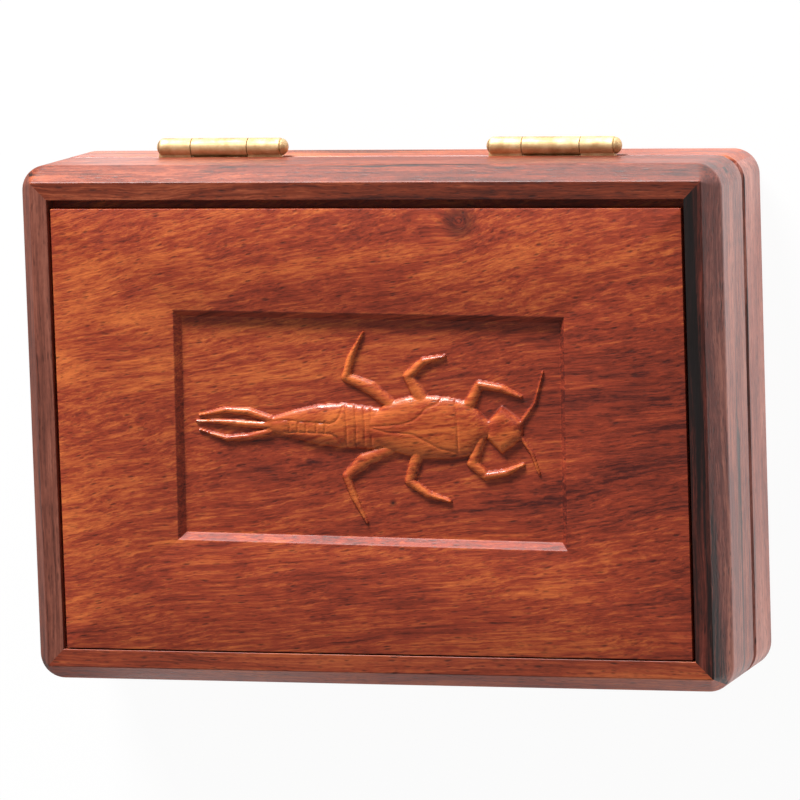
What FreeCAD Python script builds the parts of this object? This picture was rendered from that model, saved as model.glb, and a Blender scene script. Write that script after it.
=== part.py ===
"""Wooden fly box: a mitred hardwood base and lid, joined by two small brass butt hinges.

All sizes are in millimetres. The box lies flat on its base with the lid on top.
+X runs along the long side, +Y towards the hinges, +Z up.
The origin is the centre of the underside.
"""
import FreeCAD, Part
import math
import os

V = FreeCAD.Vector
os.makedirs("parts", exist_ok=True)

# Case: outside sizes and walls.
box_width = 139.0
box_depth = 100.0
base_height = 17.2
lid_height = 20.4
wall = 6.4
corner_radius = 5.0
seam_chamfer = 0.4

# Bevel round the outer faces of the lid and of the base.
bevel_run = 3.0
bevel_drop = 4.1
soften_radius = 2.5

# Floating panels: a tongue all round runs in a groove in the rails.
lid_panel_thickness = 7.0
lid_tongue_thickness = 3.2
lid_panel_gap_x = 0.65
lid_panel_gap_y = 1.0
lid_panel_shift_x = 0.1
lid_panel_shift_y = -0.7
base_panel_thickness = 5.0
base_tongue_thickness = 2.4
base_panel_gap = 0.7
groove_depth = 3.2
tongue_end_gap = 0.9

# Carved picture: a shallow recess with sloped sides, and a mayfly nymph in relief.
recess_width = 77.8
recess_depth_y = 44.5
recess_depth = 1.5
recess_slope = 1.5
recess_centre_x = 0.3
recess_centre_y = -0.2
recess_tilt = -0.8
body_relief = 1.25
limb_relief = 0.75
feeler_relief = 0.4

# Foam sheets that hold the flies.
foam_thickness = 6.0
foam_edge_gap = 0.5

# Butt hinges.
left_hinge_x = -34.3
right_hinge_x = 32.3
hinge_length = 24.8
leaf_thickness = 1.0
leaf_width = 5.4
leaf_recess = 0.05
barrel_radius = 1.75
barrel_wall_gap = 0.1
outer_knuckle_length = 6.6
knuckle_gap = 0.15
pin_radius = 0.75
pin_running_clearance = 0.05
pin_head_radius = 1.7
pin_head_height = 1.3
pin_peen_radius = 1.35
pin_peen_height = 0.6
leaf_edge_clearance = 0.05

# Countersunk wood screws, two in each leaf.
screw_spacing = 15.0
screw_inset = 2.9
screw_head_radius = 1.6
screw_shank_radius = 0.8
screw_length = 7.5
screw_point_length = 1.6
screw_slot_width = 0.4
screw_slot_depth = 0.35

# Disc magnets sunk in the front rims keep the lid shut.
magnet_radius = 2.0
magnet_thickness = 3.0
magnet_spacing = 92.0
magnet_recess = 0.1

# Sizes that follow from the ones above.
total_height = base_height + lid_height
inner_width = box_width - 2 * wall
inner_depth = box_depth - 2 * wall
axis_y = box_depth / 2 + barrel_radius + barrel_wall_gap
seam_z = base_height


def box(x0, x1, y0, y1, z0, z1):
    return Part.makeBox(x1 - x0, y1 - y0, z1 - z0, V(x0, y0, z0))


def prism(points, direction):
    wire = Part.makePolygon(list(points) + [points[0]])
    return Part.Face(wire).extrude(direction)


def side_profile(half, height, place):
    """Closed outline of the wood seen along one side: upright wall, soft bend, bevel, flat face."""
    angle = math.atan2(bevel_run, bevel_drop)
    tangent = soften_radius * math.tan(angle / 2)
    edge_z = height - bevel_drop
    bend_start = (half, edge_z - tangent)
    bend_end = (half - tangent * math.sin(angle), edge_z + tangent * math.cos(angle))
    centre = (half - soften_radius, edge_z - tangent)
    middle = (centre[0] + soften_radius * math.cos(angle / 2),
              centre[1] + soften_radius * math.sin(angle / 2))
    face_edge = (half - bevel_run, height)
    edges = []
    for side in (1, -1):
        start, mid, end, top = [place(side * p[0], p[1]) for p in (bend_start, middle, bend_end, face_edge)]
        edges.append(Part.makeLine(place(side * half, 0), start))
        edges.append(Part.Arc(start, mid, end).toShape())
        edges.append(Part.makeLine(end, top))
    edges.append(Part.makeLine(place(half - bevel_run, height), place(bevel_run - half, height)))
    edges.append(Part.makeLine(place(half, 0), place(-half, 0)))
    return Part.Face(Part.Wire(Part.__sortEdges__(edges)))


def rounded_plan(width, depth, radius, height):
    block = box(-width / 2, width / 2, -depth / 2, depth / 2, 0, height)
    upright = [e for e in block.Edges if abs(e.Vertexes[0].Z - e.Vertexes[-1].Z) > height / 2]
    return block.makeFillet(radius, upright)


def solid_half(height):
    """Outer form of half the case, with its rim at z = 0 and its outer face at z = height."""
    along_x = side_profile(box_depth / 2, height, lambda a, b: V(-box_width, a, b))
    along_y = side_profile(box_width / 2, height, lambda a, b: V(a, -box_depth, b))
    form = along_x.extrude(V(2 * box_width, 0, 0))
    form = form.common(along_y.extrude(V(0, 2 * box_depth, 0)))
    return form.common(rounded_plan(box_width, box_depth, corner_radius, height))


def hollow_half(height, panel_thickness, tongue_thickness):
    form = solid_half(height)
    rim_edges = [e for e in form.Edges if e.BoundBox.ZMax < 1e-6]
    form = form.makeChamfer(seam_chamfer, rim_edges)
    opening = box(-inner_width / 2, inner_width / 2, -inner_depth / 2, inner_depth / 2, -1, height + 1)
    groove_z = height - panel_thickness
    groove_x = inner_width / 2 + groove_depth
    groove_y = inner_depth / 2 + groove_depth
    groove = box(-groove_x, groove_x, -groove_y, groove_y, groove_z, groove_z + tongue_thickness)
    return form.cut(opening).cut(groove)


def mitred(form, side):
    """Part of the frame that lies on one side, cut at 45 degrees through its corners."""
    out = 5.0
    into = 3 * wall
    x, y = box_width / 2, box_depth / 2
    corners = {
        "back": [(-x - out, y + out), (x + out, y + out), (x - into, y - into), (into - x, y - into)],
        "front": [(-x - out, -y - out), (x + out, -y - out), (x - into, into - y), (into - x, into - y)],
        "left": [(-x - out, -y - out), (-x - out, y + out), (into - x, y - into), (into - x, into - y)],
        "right": [(x + out, -y - out), (x + out, y + out), (x - into, y - into), (x - into, into - y)],
    }[side]
    cutter = prism([V(a, b, -50) for a, b in corners], V(0, 0, 150))
    return form.common(cutter)


def to_lid(shape):
    """Moves a half that was made with its rim at z = 0 up onto the seam."""
    return shape.translated(V(0, 0, seam_z))


def to_base(shape):
    """Turns a half over, so that its rim faces up at the seam."""
    return shape.mirror(V(0, 0, 0), V(0, 0, 1)).translated(V(0, 0, seam_z))


def panel(height, thickness, tongue_thickness, gap_x, gap_y, shift_x, shift_y):
    """Floating panel in the frame of its half, with the tongue at its inner side."""
    x = inner_width / 2 - gap_x
    y = inner_depth / 2 - gap_y
    field = box(shift_x - x, shift_x + x, shift_y - y, shift_y + y, height - thickness, height)
    tx = inner_width / 2 + groove_depth - tongue_end_gap
    ty = inner_depth / 2 + groove_depth - tongue_end_gap
    tongue_z = height - thickness
    tongue = box(shift_x - tx, shift_x + tx, shift_y - ty, shift_y + ty, tongue_z, tongue_z + tongue_thickness)
    return field.fuse(tongue).removeSplitter()


# Carved picture.
def frustum(outline, z0, z1, inset, centre):
    """Low block with sloped sides, from an outline in the plane of the recess's floor."""
    cx, cy = centre
    low = Part.makePolygon([V(x, y, z0) for x, y in outline + outline[:1]])
    shrunk = []
    for x, y in outline:
        reach = math.hypot(x - cx, y - cy)
        keep = max(0.2, 1 - inset / reach)
        shrunk.append((cx + (x - cx) * keep, cy + (y - cy) * keep))
    high = Part.makePolygon([V(x, y, z1) for x, y in shrunk + shrunk[:1]])
    return Part.makeLoft([low, high], True, True)


def bar(points, widths, z0, z1):
    """Low strip that follows a line of points and changes width along it."""
    left, right = [], []
    for i, (x, y) in enumerate(points):
        x0, y0 = points[max(i - 1, 0)]
        x1, y1 = points[min(i + 1, len(points) - 1)]
        run = math.hypot(x1 - x0, y1 - y0)
        nx, ny = -(y1 - y0) / run, (x1 - x0) / run
        left.append(V(x + nx * widths[i] / 2, y + ny * widths[i] / 2, z0))
        right.append(V(x - nx * widths[i] / 2, y - ny * widths[i] / 2, z0))
    return prism(left + right[::-1], V(0, 0, z1 - z0))


def nymph(floor_z):
    """Mayfly nymph seen from above: abdomen, thorax with wing pads, head, legs, feelers, three tails."""
    sink = floor_z - 0.3
    top = floor_z + body_relief
    limb = floor_z + limb_relief
    feeler = floor_z + feeler_relief
    abdomen = [(-20.8, 1.2), (-14.0, 3.1), (-6.0, 3.9), (1.5, 3.6),
               (1.5, -4.3), (-6.0, -4.6), (-14.0, -3.2), (-20.8, -1.0)]
    thorax = [(-0.6, 0.8), (4.2, 5.0), (10.6, 6.3), (17.6, 5.9), (21.2, 4.2), (23.6, 1.4),
              (23.4, -1.8), (20.6, -5.0), (15.0, -6.4), (7.6, -6.0), (1.2, -3.4)]
    head = [(23.3, 1.3), (26.3, 4.4), (30.3, 1.4), (30.4, -1.7), (26.2, -4.8), (23.1, -1.8)]
    pieces = [
        frustum(abdomen, sink, top, 1.4, (-7.0, -0.3)),
        frustum(thorax, sink, top, 1.5, (11.5, -0.2)),
        frustum(head, sink, top, 1.2, (26.8, -0.1)),
    ]
    legs = [
        [(4.6, 4.4), (-4.3, 9.7), (-0.7, 18.1)],
        [(10.6, 5.4), (7.5, 10.1), (15.4, 13.8)],
        [(19.8, 3.6), (22.1, 8.5), (30.1, 6.4)],
        [(4.2, -4.0), (-4.8, -9.2), (-1.0, -18.1)],
        [(9.4, -5.2), (7.7, -10.1), (15.4, -13.7)],
        [(21.6, -2.0), (20.4, -6.6), (22.9, -8.8), (30.2, -6.8)],
    ]
    for leg in legs:
        widths = [2.0, 1.6, 0.7] if len(leg) == 3 else [1.8, 1.7, 1.5, 0.8]
        pieces.append(bar(leg, widths, sink, limb))
    pieces.append(bar([(29.9, 0.9), (32.9, 5.2), (34.6, 10.6)], [0.9, 0.6, 0.4], sink, feeler))
    pieces.append(bar([(29.9, -1.4), (32.0, -4.6), (33.4, -8.4)], [0.9, 0.6, 0.4], sink, feeler))
    pieces.append(bar([(-20.0, 0.9), (-27.3, 3.4), (-33.8, 2.3)], [1.3, 1.2, 0.4], sink, limb))
    pieces.append(bar([(-20.0, 0.2), (-27.0, 0.6), (-34.4, 0.9)], [1.3, 1.2, 0.4], sink, limb))
    pieces.append(bar([(-20.0, -0.6), (-27.3, -2.0), (-33.8, -0.8)], [1.3, 1.2, 0.4], sink, limb))
    form = pieces[0]
    for piece in pieces[1:]:
        form = form.fuse(piece)
    return form


def recess(face_z):
    """Shallow sunk field with sides that slope down to a flat floor."""
    rings = []
    for inset, z in ((-recess_slope, face_z + recess_depth), (recess_slope, face_z - recess_depth)):
        x = recess_width / 2 - inset
        y = recess_depth_y / 2 - inset
        rings.append(Part.makePolygon([V(-x, -y, z), V(x, -y, z), V(x, y, z), V(-x, y, z), V(-x, -y, z)]))
    field = Part.makeLoft(rings, True, True)
    field.rotate(V(0, 0, 0), V(0, 0, 1), recess_tilt)
    field.translate(V(recess_centre_x, recess_centre_y, 0))
    return field


# Hinges. The leaves lie flat in the rims; the barrel stands just outside the back wall.
def barrel(x0, x1, radius):
    return Part.makeCylinder(radius, x1 - x0, V(x0, axis_y, seam_z), V(1, 0, 0))


def screw_places(hinge_x):
    y = box_depth / 2 - screw_inset
    return [(hinge_x - screw_spacing / 2, y), (hinge_x + screw_spacing / 2, y)]


def screw(x, y, top_z, down):
    """Countersunk screw; its flat head is level with the leaf and it points along down (+1 or -1)."""
    head = screw_head_radius - screw_shank_radius
    direction = V(0, 0, down)
    form = Part.makeCone(screw_head_radius, screw_shank_radius, head, V(x, y, top_z), direction)
    shank_end = screw_length - screw_point_length
    form = form.fuse(Part.makeCylinder(screw_shank_radius, shank_end - head, V(x, y, top_z + down * head), direction))
    form = form.fuse(Part.makeCone(screw_shank_radius, 0.1, screw_point_length,
                                   V(x, y, top_z + down * shank_end), direction))
    return form.removeSplitter()


def slotted(form, x, y, top_z, down):
    z0, z1 = sorted((top_z - down * 0.2, top_z + down * screw_slot_depth))
    slot = box(x - screw_head_radius, x + screw_head_radius, y - screw_slot_width / 2, y + screw_slot_width / 2, z0, z1)
    return form.cut(slot)


def leaf_slab(hinge_x, up, y_outer, x0, x1):
    """Flat plate just above (up = 1) or just below (up = -1) the seam."""
    z0, z1 = sorted((seam_z + up * leaf_recess, seam_z + up * (leaf_recess + leaf_thickness)))
    return box(hinge_x + x0, hinge_x + x1, box_depth / 2 - leaf_width, y_outer, z0, z1)


def hinge_leaf(hinge_x, up):
    """Leaf with its knuckles: the lid's leaf (up = 1) has the two outer ones, the base's the middle one."""
    half = hinge_length / 2
    inner = half - outer_knuckle_length
    form = leaf_slab(hinge_x, up, box_depth / 2, -half, half)
    if up > 0:
        spans = [(-half, -inner), (inner, half)]
        bore = pin_radius
    else:
        spans = [(-inner + knuckle_gap, inner - knuckle_gap)]
        bore = pin_radius + pin_running_clearance
    for x0, x1 in spans:
        form = form.fuse(leaf_slab(hinge_x, up, axis_y, x0, x1))
        form = form.fuse(barrel(hinge_x + x0, hinge_x + x1, barrel_radius))
    form = form.cut(barrel(hinge_x - half - 1, hinge_x + half + 1, bore))
    top_z = seam_z + up * leaf_recess
    for x, y in screw_places(hinge_x):
        form = form.cut(screw(x, y, top_z, up))
    return form.removeSplitter()


def dome(end_x, side, radius, height):
    """Cap of a ball on the end of the barrel: side is +1 for the right end and -1 for the left."""
    ball_radius = (radius ** 2 + height ** 2) / (2 * height)
    ball = Part.makeSphere(ball_radius, V(end_x + side * (height - ball_radius), axis_y, seam_z))
    x0, x1 = sorted((end_x, end_x + side * 2 * height))
    return ball.common(barrel(x0, x1, 2 * radius))


def hinge_pin(hinge_x):
    """Pin with a domed head at its right end and a low peened left end; it turns with the lid's knuckles."""
    half = hinge_length / 2
    shaft = barrel(hinge_x - half, hinge_x + half, pin_radius)
    head = dome(hinge_x + half, 1, pin_head_radius, pin_head_height)
    peen = dome(hinge_x - half, -1, pin_peen_radius, pin_peen_height)
    return shaft.fuse(head).fuse(peen).removeSplitter()


def hinge_mortise(hinge_x, up):
    """Pocket in the rim for one leaf, open towards the back."""
    half = hinge_length / 2 + leaf_edge_clearance
    z0, z1 = sorted((seam_z - up * 1.0, seam_z + up * (leaf_recess + leaf_thickness)))
    y0 = box_depth / 2 - leaf_width - leaf_edge_clearance
    return box(hinge_x - half, hinge_x + half, y0, box_depth, z0, z1)


def magnet(x, up, extra):
    """Disc in the front rim; extra lengthens it past the rim to cut its hole."""
    start = seam_z + up * (magnet_recess - extra)
    length = magnet_thickness + extra
    y = wall / 2 - box_depth / 2
    return Part.makeCylinder(magnet_radius, length, V(x, y, start), V(0, 0, up))


def foam(z0, z1):
    x = inner_width / 2 - foam_edge_gap
    y = inner_depth / 2 - foam_edge_gap
    return box(-x, x, -y, y, z0, z1)


def save(name, shapes):
    shape = shapes[0] if len(shapes) == 1 else Part.makeCompound(shapes)
    shape.exportStep("parts/" + name + ".step")


# Frames.
lid_frame = to_lid(hollow_half(lid_height, lid_panel_thickness, lid_tongue_thickness))
base_frame = to_base(hollow_half(base_height, base_panel_thickness, base_tongue_thickness))
sides = {}
for side in ("back", "front", "left", "right"):
    sides["lid", side] = mitred(lid_frame, side)
    sides["base", side] = mitred(base_frame, side)

for half, up in (("lid", 1), ("base", -1)):
    leaf_face = seam_z + up * leaf_recess
    screws = []
    for hinge_x in (left_hinge_x, right_hinge_x):
        sides[half, "back"] = sides[half, "back"].cut(hinge_mortise(hinge_x, up))
        for x, y in screw_places(hinge_x):
            plain = screw(x, y, leaf_face, up)
            sides[half, "back"] = sides[half, "back"].cut(plain)
            screws.append(slotted(plain, x, y, leaf_face, up))
    save(half + "_hinge_screws", screws)
    magnets = []
    for x in (-magnet_spacing / 2, magnet_spacing / 2):
        sides[half, "front"] = sides[half, "front"].cut(magnet(x, up, 1.0))
        magnets.append(magnet(x, up, 0.0))
    save(half + "_magnets", magnets)
    save(half + "_back_rail", [sides[half, "back"]])
    save(half + "_front_rail", [sides[half, "front"]])
    save(half + "_left_stile", [sides[half, "left"]])
    save(half + "_right_stile", [sides[half, "right"]])

# Panels.
lid_panel = panel(lid_height, lid_panel_thickness, lid_tongue_thickness,
                  lid_panel_gap_x, lid_panel_gap_y, lid_panel_shift_x, lid_panel_shift_y)
carving = nymph(lid_height - recess_depth).common(recess(lid_height))
lid_panel = lid_panel.cut(recess(lid_height)).fuse(carving).removeSplitter()
save("lid_panel", [to_lid(lid_panel)])
base_panel = panel(base_height, base_panel_thickness, base_tongue_thickness,
                   base_panel_gap, base_panel_gap, 0.0, 0.0)
save("base_panel", [to_base(base_panel)])

# Foam.
lid_foam_top = total_height - lid_panel_thickness
save("lid_foam", [foam(lid_foam_top - foam_thickness, lid_foam_top)])
save("base_foam", [foam(base_panel_thickness, base_panel_thickness + foam_thickness)])

# Hinges.
for name, hinge_x in (("left", left_hinge_x), ("right", right_hinge_x)):
    save(name + "_hinge_lid_leaf", [hinge_leaf(hinge_x, 1)])
    save(name + "_hinge_base_leaf", [hinge_leaf(hinge_x, -1)])
    save(name + "_hinge_pin", [hinge_pin(hinge_x)])
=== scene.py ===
# %% [markdown]
# # A wooden fly box
# An angler keeps small artificial flies in a box like this one. The box is made of two mitred hardwood
# frames, each closed by a floating panel, and two small brass hinges join them at the back.

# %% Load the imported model
import math
import bmesh
import bpy
import numpy as np
from mathutils import Euler, Matrix, Vector


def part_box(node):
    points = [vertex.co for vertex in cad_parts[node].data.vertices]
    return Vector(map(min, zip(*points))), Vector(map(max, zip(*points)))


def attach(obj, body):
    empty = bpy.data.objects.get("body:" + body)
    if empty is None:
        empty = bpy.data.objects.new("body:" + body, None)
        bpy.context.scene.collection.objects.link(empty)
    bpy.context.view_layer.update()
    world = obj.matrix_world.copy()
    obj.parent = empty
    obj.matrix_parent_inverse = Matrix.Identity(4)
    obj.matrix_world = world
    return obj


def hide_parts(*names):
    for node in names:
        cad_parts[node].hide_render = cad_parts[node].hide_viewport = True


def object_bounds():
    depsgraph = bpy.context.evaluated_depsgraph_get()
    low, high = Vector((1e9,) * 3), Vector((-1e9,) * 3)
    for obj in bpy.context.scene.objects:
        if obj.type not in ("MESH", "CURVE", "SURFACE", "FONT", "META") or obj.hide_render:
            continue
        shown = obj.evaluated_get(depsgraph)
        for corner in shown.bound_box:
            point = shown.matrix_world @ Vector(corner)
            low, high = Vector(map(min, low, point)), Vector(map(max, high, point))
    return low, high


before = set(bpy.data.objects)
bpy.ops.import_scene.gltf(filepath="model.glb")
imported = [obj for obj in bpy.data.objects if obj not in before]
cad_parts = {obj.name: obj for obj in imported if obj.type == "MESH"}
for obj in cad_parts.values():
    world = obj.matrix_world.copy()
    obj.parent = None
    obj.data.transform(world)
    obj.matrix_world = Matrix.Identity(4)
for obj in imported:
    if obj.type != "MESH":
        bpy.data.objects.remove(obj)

cad_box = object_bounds()
MM = 0.001
scene = bpy.context.scene
print("nodes", len(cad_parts), "box", cad_box)

# %% [markdown]
# ## Colours and nodes
# Colours are written as they look on a screen, as hex numbers. Blender's shaders want linear light, so one
# function turns one into the other. Another small function adds a shader node with its settings and links.


# %% Helpers for colours and shader nodes
def linear(hex_colour):
    """'#RRGGBB' as seen on a screen -> linear RGBA."""
    parts = [int(hex_colour[i:i + 2], 16) / 255 for i in (1, 3, 5)]
    return tuple(c / 12.92 if c <= 0.04045 else ((c + 0.055) / 1.055) ** 2.4 for c in parts) + (1.0,)


def add(tree, kind, inputs=None, stops=None, **settings):
    """Adds one node: settings are its properties, inputs are values or sockets, stops colour a ramp."""
    node = tree.nodes.new(kind)
    for name, value in settings.items():
        setattr(node, name, value)
    for name, value in (inputs or {}).items():
        if isinstance(value, bpy.types.NodeSocket):
            tree.links.new(value, node.inputs[name])
        else:
            node.inputs[name].default_value = value
    if stops:
        ramp = node.color_ramp
        while len(ramp.elements) < len(stops):
            ramp.elements.new(0.5)
        for element, (place, colour) in zip(ramp.elements, stops):
            element.position = place
            element.color = colour
    return node


def grey(value):
    return (value, value, value, 1.0)


def new_material(name):
    material = bpy.data.materials.new(name)
    material.use_nodes = True
    material.node_tree.nodes.clear()
    return material, material.node_tree


# %% [markdown]
# ## Rosewood
# The box is a dense tropical rosewood, planed, sanded fine and rubbed with several coats of hard oil.
# What the eye reads in it: broad bands of darker and lighter wood a few millimetres wide that wander, fine
# fibre lines, short dark pores about 0.2 mm wide and 1 to 3 mm long, and a soft sheen that runs across the
# figure. All four are noise patterns that are stretched along the grain, in real millimetres, on Object
# coordinates, so the grain goes on through the carving as it does in one piece of wood.


# %% Oiled rosewood
def oiled_rosewood(name, dark, middle, light, grain_z=0.0, grain_y=0.0, wander=9.0, band=6.0, contrast=1.0,
                   seed=0.0, roughness=0.44, ink=0.0, ink_colour="#120807", lift=0.0, pore=0.8, patch=0.2,
                   painted_light_slope=(0.0, 0.0), knots=(), carving_lift_and_wall_shade=0.0, streak=None,
                   bow=None):
    """dark, middle, light: hex colours of the bands. grain_z, grain_y: degrees that turn the grain from +X.
    wander: how far the bands stray, mm. band: width of a band, mm. ink: how much black streak there is.
    painted_light_slope: painted light and shade, how much darker the wood is painted per mm towards +X (lighter
    where negative), and the x from where. knots: x, y, radius, mm, and how black the core is.
    carving_lift_and_wall_shade: how much lighter and glossier the carving is where it stands higher; on the recess
    walls, marked -0.5, it paints shade, darker and rougher. streak: one black streak's x, slope and half width.
    bow: slope of the grain at the middle, and how it changes per mm of y and of x."""
    material, tree = new_material(name)

    def math_node(operation, first, second, third=0.0):
        return add(tree, "ShaderNodeMath", {0: first, 1: second, 2: third}, operation=operation).outputs[0]

    def stretched_noise(vector, size, detail, rough):
        """Noise whose blobs are size millimetres long, wide and deep, as a value that is 0 on average."""
        scaled = add(tree, "ShaderNodeMapping", {"Vector": vector, "Scale": tuple(1 / s for s in size)})
        noise = add(tree, "ShaderNodeTexNoise", {
            "Vector": scaled.outputs["Vector"], "Scale": 1.0, "Detail": detail, "Roughness": rough})
        return math_node("SUBTRACT", noise.outputs["Fac"], 0.5)

    place = add(tree, "ShaderNodeTexCoord")
    millimetres = add(tree, "ShaderNodeMapping", {
        "Vector": place.outputs["Object"], "Scale": (1000, 1000, 1000)}).outputs["Vector"]
    turned = add(tree, "ShaderNodeMapping", {
        "Vector": millimetres, "Rotation": (0, math.radians(-grain_y), math.radians(-grain_z)),
        "Location": (seed * 37.0, seed * 53.0, seed * 71.0)}).outputs["Vector"]

    along = add(tree, "ShaderNodeSeparateXYZ", {"Vector": millimetres})

    # The grain strays slowly, quivers over a few millimetres, and bows round the knots.
    shift = math_node("MULTIPLY", stretched_noise(turned, (60, 24, 24), 2.0, 0.5), wander)
    shift = math_node("MULTIPLY_ADD", stretched_noise(turned, (9, 3.6, 3.6), 3.0, 0.55), wander * 0.1, shift)
    shift = math_node("MULTIPLY_ADD", stretched_noise(turned, (2.2, 1.3, 1.3), 2.0, 0.5), 0.35, shift)
    if bow:
        slope = math_node("MULTIPLY_ADD", along.outputs["Y"], -bow[1], -bow[0])
        slope = math_node("MULTIPLY_ADD", along.outputs["X"], -bow[2] / 2, slope)
        shift = math_node("MULTIPLY_ADD", along.outputs["X"], slope, shift)
    shade = None
    for x, y, radius, core in knots:
        away = add(tree, "ShaderNodeVectorMath", {
            0: add(tree, "ShaderNodeVectorMath", {0: millimetres, 1: (1, 1, 0)}, operation="MULTIPLY").outputs[0],
            1: (x, y, 0)}, operation="DISTANCE").outputs["Value"]
        near = math_node("POWER", 2.718, math_node("MULTIPLY", away, -0.5 / radius))
        shift = math_node("MULTIPLY_ADD", near, 2.2 * radius, shift)
        ring = add(tree, "ShaderNodeValToRGB", {"Fac": math_node("DIVIDE", away, 4 * radius)},
                   stops=[(0.0, grey(core)), (0.1, grey(core)), (0.2, grey(0.6)), (0.32, grey(0.48)), (0.6, grey(0))])
        shade = ring.outputs["Color"] if shade is None else math_node("MAXIMUM", shade, ring.outputs["Color"])
    sideways = add(tree, "ShaderNodeCombineXYZ", {"X": 0.0, "Y": shift, "Z": shift})
    grain = add(tree, "ShaderNodeVectorMath", {0: turned, 1: sideways.outputs["Vector"]}, operation="ADD").outputs[0]

    lines = stretched_noise(grain, (30, 0.8, 1.2), 5.0, 0.7)
    fibre = stretched_noise(grain, (4, 0.22, 0.32), 4.0, 0.7)
    layers = [
        (stretched_noise(grain, (band * 10, band, band * 1.6), 3.0, 0.55), 0.25),
        (stretched_noise(grain, (40, 2.3, 3.6), 3.0, 0.6), 0.22), (lines, 0.36), (fibre, 0.24),
        (stretched_noise(grain, (70, 0.7, 1.1), 2.0, 0.5), 0.16),
        (stretched_noise(grain, (18, 0.34, 0.5), 3.0, 0.6), 0.24),
        (stretched_noise(turned, (14, 7, 8), 3.0, 0.5), 0.1),
        (stretched_noise(turned, (3.4, 1.8, 2.2), 3.0, 0.6), 0.14),
        (stretched_noise(turned, (75, 40, 40), 1.0, 0.5), patch)]
    tone = 0.5
    for layer, weight in layers:
        tone = math_node("MULTIPLY_ADD", layer, weight, tone)
    # Painted light and shade: the tone is painted darker per mm towards +X, or lighter where the slope is negative.
    tone = math_node("MULTIPLY_ADD", math_node("SUBTRACT", along.outputs["X"], painted_light_slope[1]), -painted_light_slope[0], tone)
    # Lighter where the carving stands higher; the recess walls are marked -0.5, so there this paints shade.
    if carving_lift_and_wall_shade:
        carving = add(tree, "ShaderNodeAttribute", attribute_name="carving").outputs["Fac"]
        tone = math_node("MULTIPLY_ADD", carving, carving_lift_and_wall_shade, tone)
    spread = 0.17 / contrast
    share = add(tree, "ShaderNodeMapRange", {
        "Value": tone, "From Min": 0.5 - spread - lift, "From Max": 0.5 + spread - lift})
    colour = add(tree, "ShaderNodeValToRGB", {"Fac": share.outputs["Result"]},
                 stops=[(0.0, linear(dark)), (0.5, linear(middle)), (1.0, linear(light))])

    def pores_of(length, width, small, large, strength):
        """Short dark dashes: cells stretched along the grain, each dark only near its centre."""
        scaled = add(tree, "ShaderNodeMapping", {
            "Vector": grain, "Scale": (1 / length, 1 / width, 1 / width)})
        cells = add(tree, "ShaderNodeTexVoronoi", {
            "Vector": scaled.outputs["Vector"], "Scale": 1.0, "Randomness": 1.0})
        spots = add(tree, "ShaderNodeMapRange", {
            "Value": cells.outputs["Distance"], "From Min": small, "From Max": large, "To Min": 1.0, "To Max": 0.0})
        pick = add(tree, "ShaderNodeSeparateColor", {"Color": cells.outputs["Color"]})
        return math_node("MULTIPLY", math_node("MULTIPLY", spots.outputs["Result"], pick.outputs["Red"]), strength)

    pores = math_node("MAXIMUM", pores_of(3.6, 0.8, 0.12, 0.32, pore), pores_of(1.7, 0.5, 0.1, 0.42, pore * 0.7))
    skin = add(tree, "ShaderNodeMix", {
        "Factor": pores, "A": colour.outputs["Color"], "B": linear("#2E100B")}, data_type="RGBA")
    if shade is not None:
        skin = add(tree, "ShaderNodeMix", {
            "Factor": shade, "A": skin.outputs["Result"], "B": linear(ink_colour)}, data_type="RGBA")
    if ink > 0:
        streaks = stretched_noise(grain, (150, 4.0, 6.0), 3.5, 0.6)
        ink_mask = add(tree, "ShaderNodeMapRange", {
            "Value": streaks, "From Min": 0.12 - ink * 0.2, "From Max": 0.18 - ink * 0.2, "To Max": 0.92})
        skin = add(tree, "ShaderNodeMix", {
            "Factor": ink_mask.outputs["Result"], "A": skin.outputs["Result"], "B": linear(ink_colour)},
            data_type="RGBA")

    if streak:
        middle_line = math_node("MULTIPLY_ADD", along.outputs["Y"], streak[1], streak[0])
        away = math_node("SUBTRACT", along.outputs["X"], middle_line)
        away = math_node("ABSOLUTE", math_node("MULTIPLY_ADD", shift, 0.5, away), 0.0)
        away = math_node("MULTIPLY_ADD", lines, 4.5, away)
        edge = add(tree, "ShaderNodeMapRange", {
            "Value": away, "From Min": streak[2] * 0.5, "From Max": streak[2] * 1.3, "To Min": 0.95, "To Max": 0.0})
        strands = add(tree, "ShaderNodeMapRange", {
            "Value": stretched_noise(grain, (60, 0.6, 0.9), 3.0, 0.6), "From Min": -0.12, "From Max": 0.02,
            "To Min": 0.35, "To Max": 1.0})
        skin = add(tree, "ShaderNodeMix", {
            "Factor": math_node("MULTIPLY", edge.outputs["Result"], strands.outputs["Result"]),
            "A": skin.outputs["Result"], "B": linear(ink_colour)}, data_type="RGBA")

    sheen = add(tree, "ShaderNodeMapRange", {
        "Value": lines, "From Min": -0.2, "From Max": 0.2, "To Min": roughness - 0.06, "To Max": roughness + 0.06})
    gloss = sheen.outputs["Result"]
    if carving_lift_and_wall_shade:
        gloss = math_node("MULTIPLY_ADD", carving, -0.18, gloss)
    relief = math_node("MULTIPLY_ADD", fibre, 0.7, math_node("MULTIPLY", pores, -1.0))
    bump = add(tree, "ShaderNodeBump", {"Height": relief, "Strength": 0.5, "Distance": 0.00007})
    shader = add(tree, "ShaderNodeBsdfPrincipled", {
        "Base Color": skin.outputs["Result"], "Roughness": gloss, "IOR": 1.5,
        "Normal": bump.outputs["Normal"]})
    add(tree, "ShaderNodeOutputMaterial", {"Surface": shader.outputs["BSDF"]})
    return material


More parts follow.
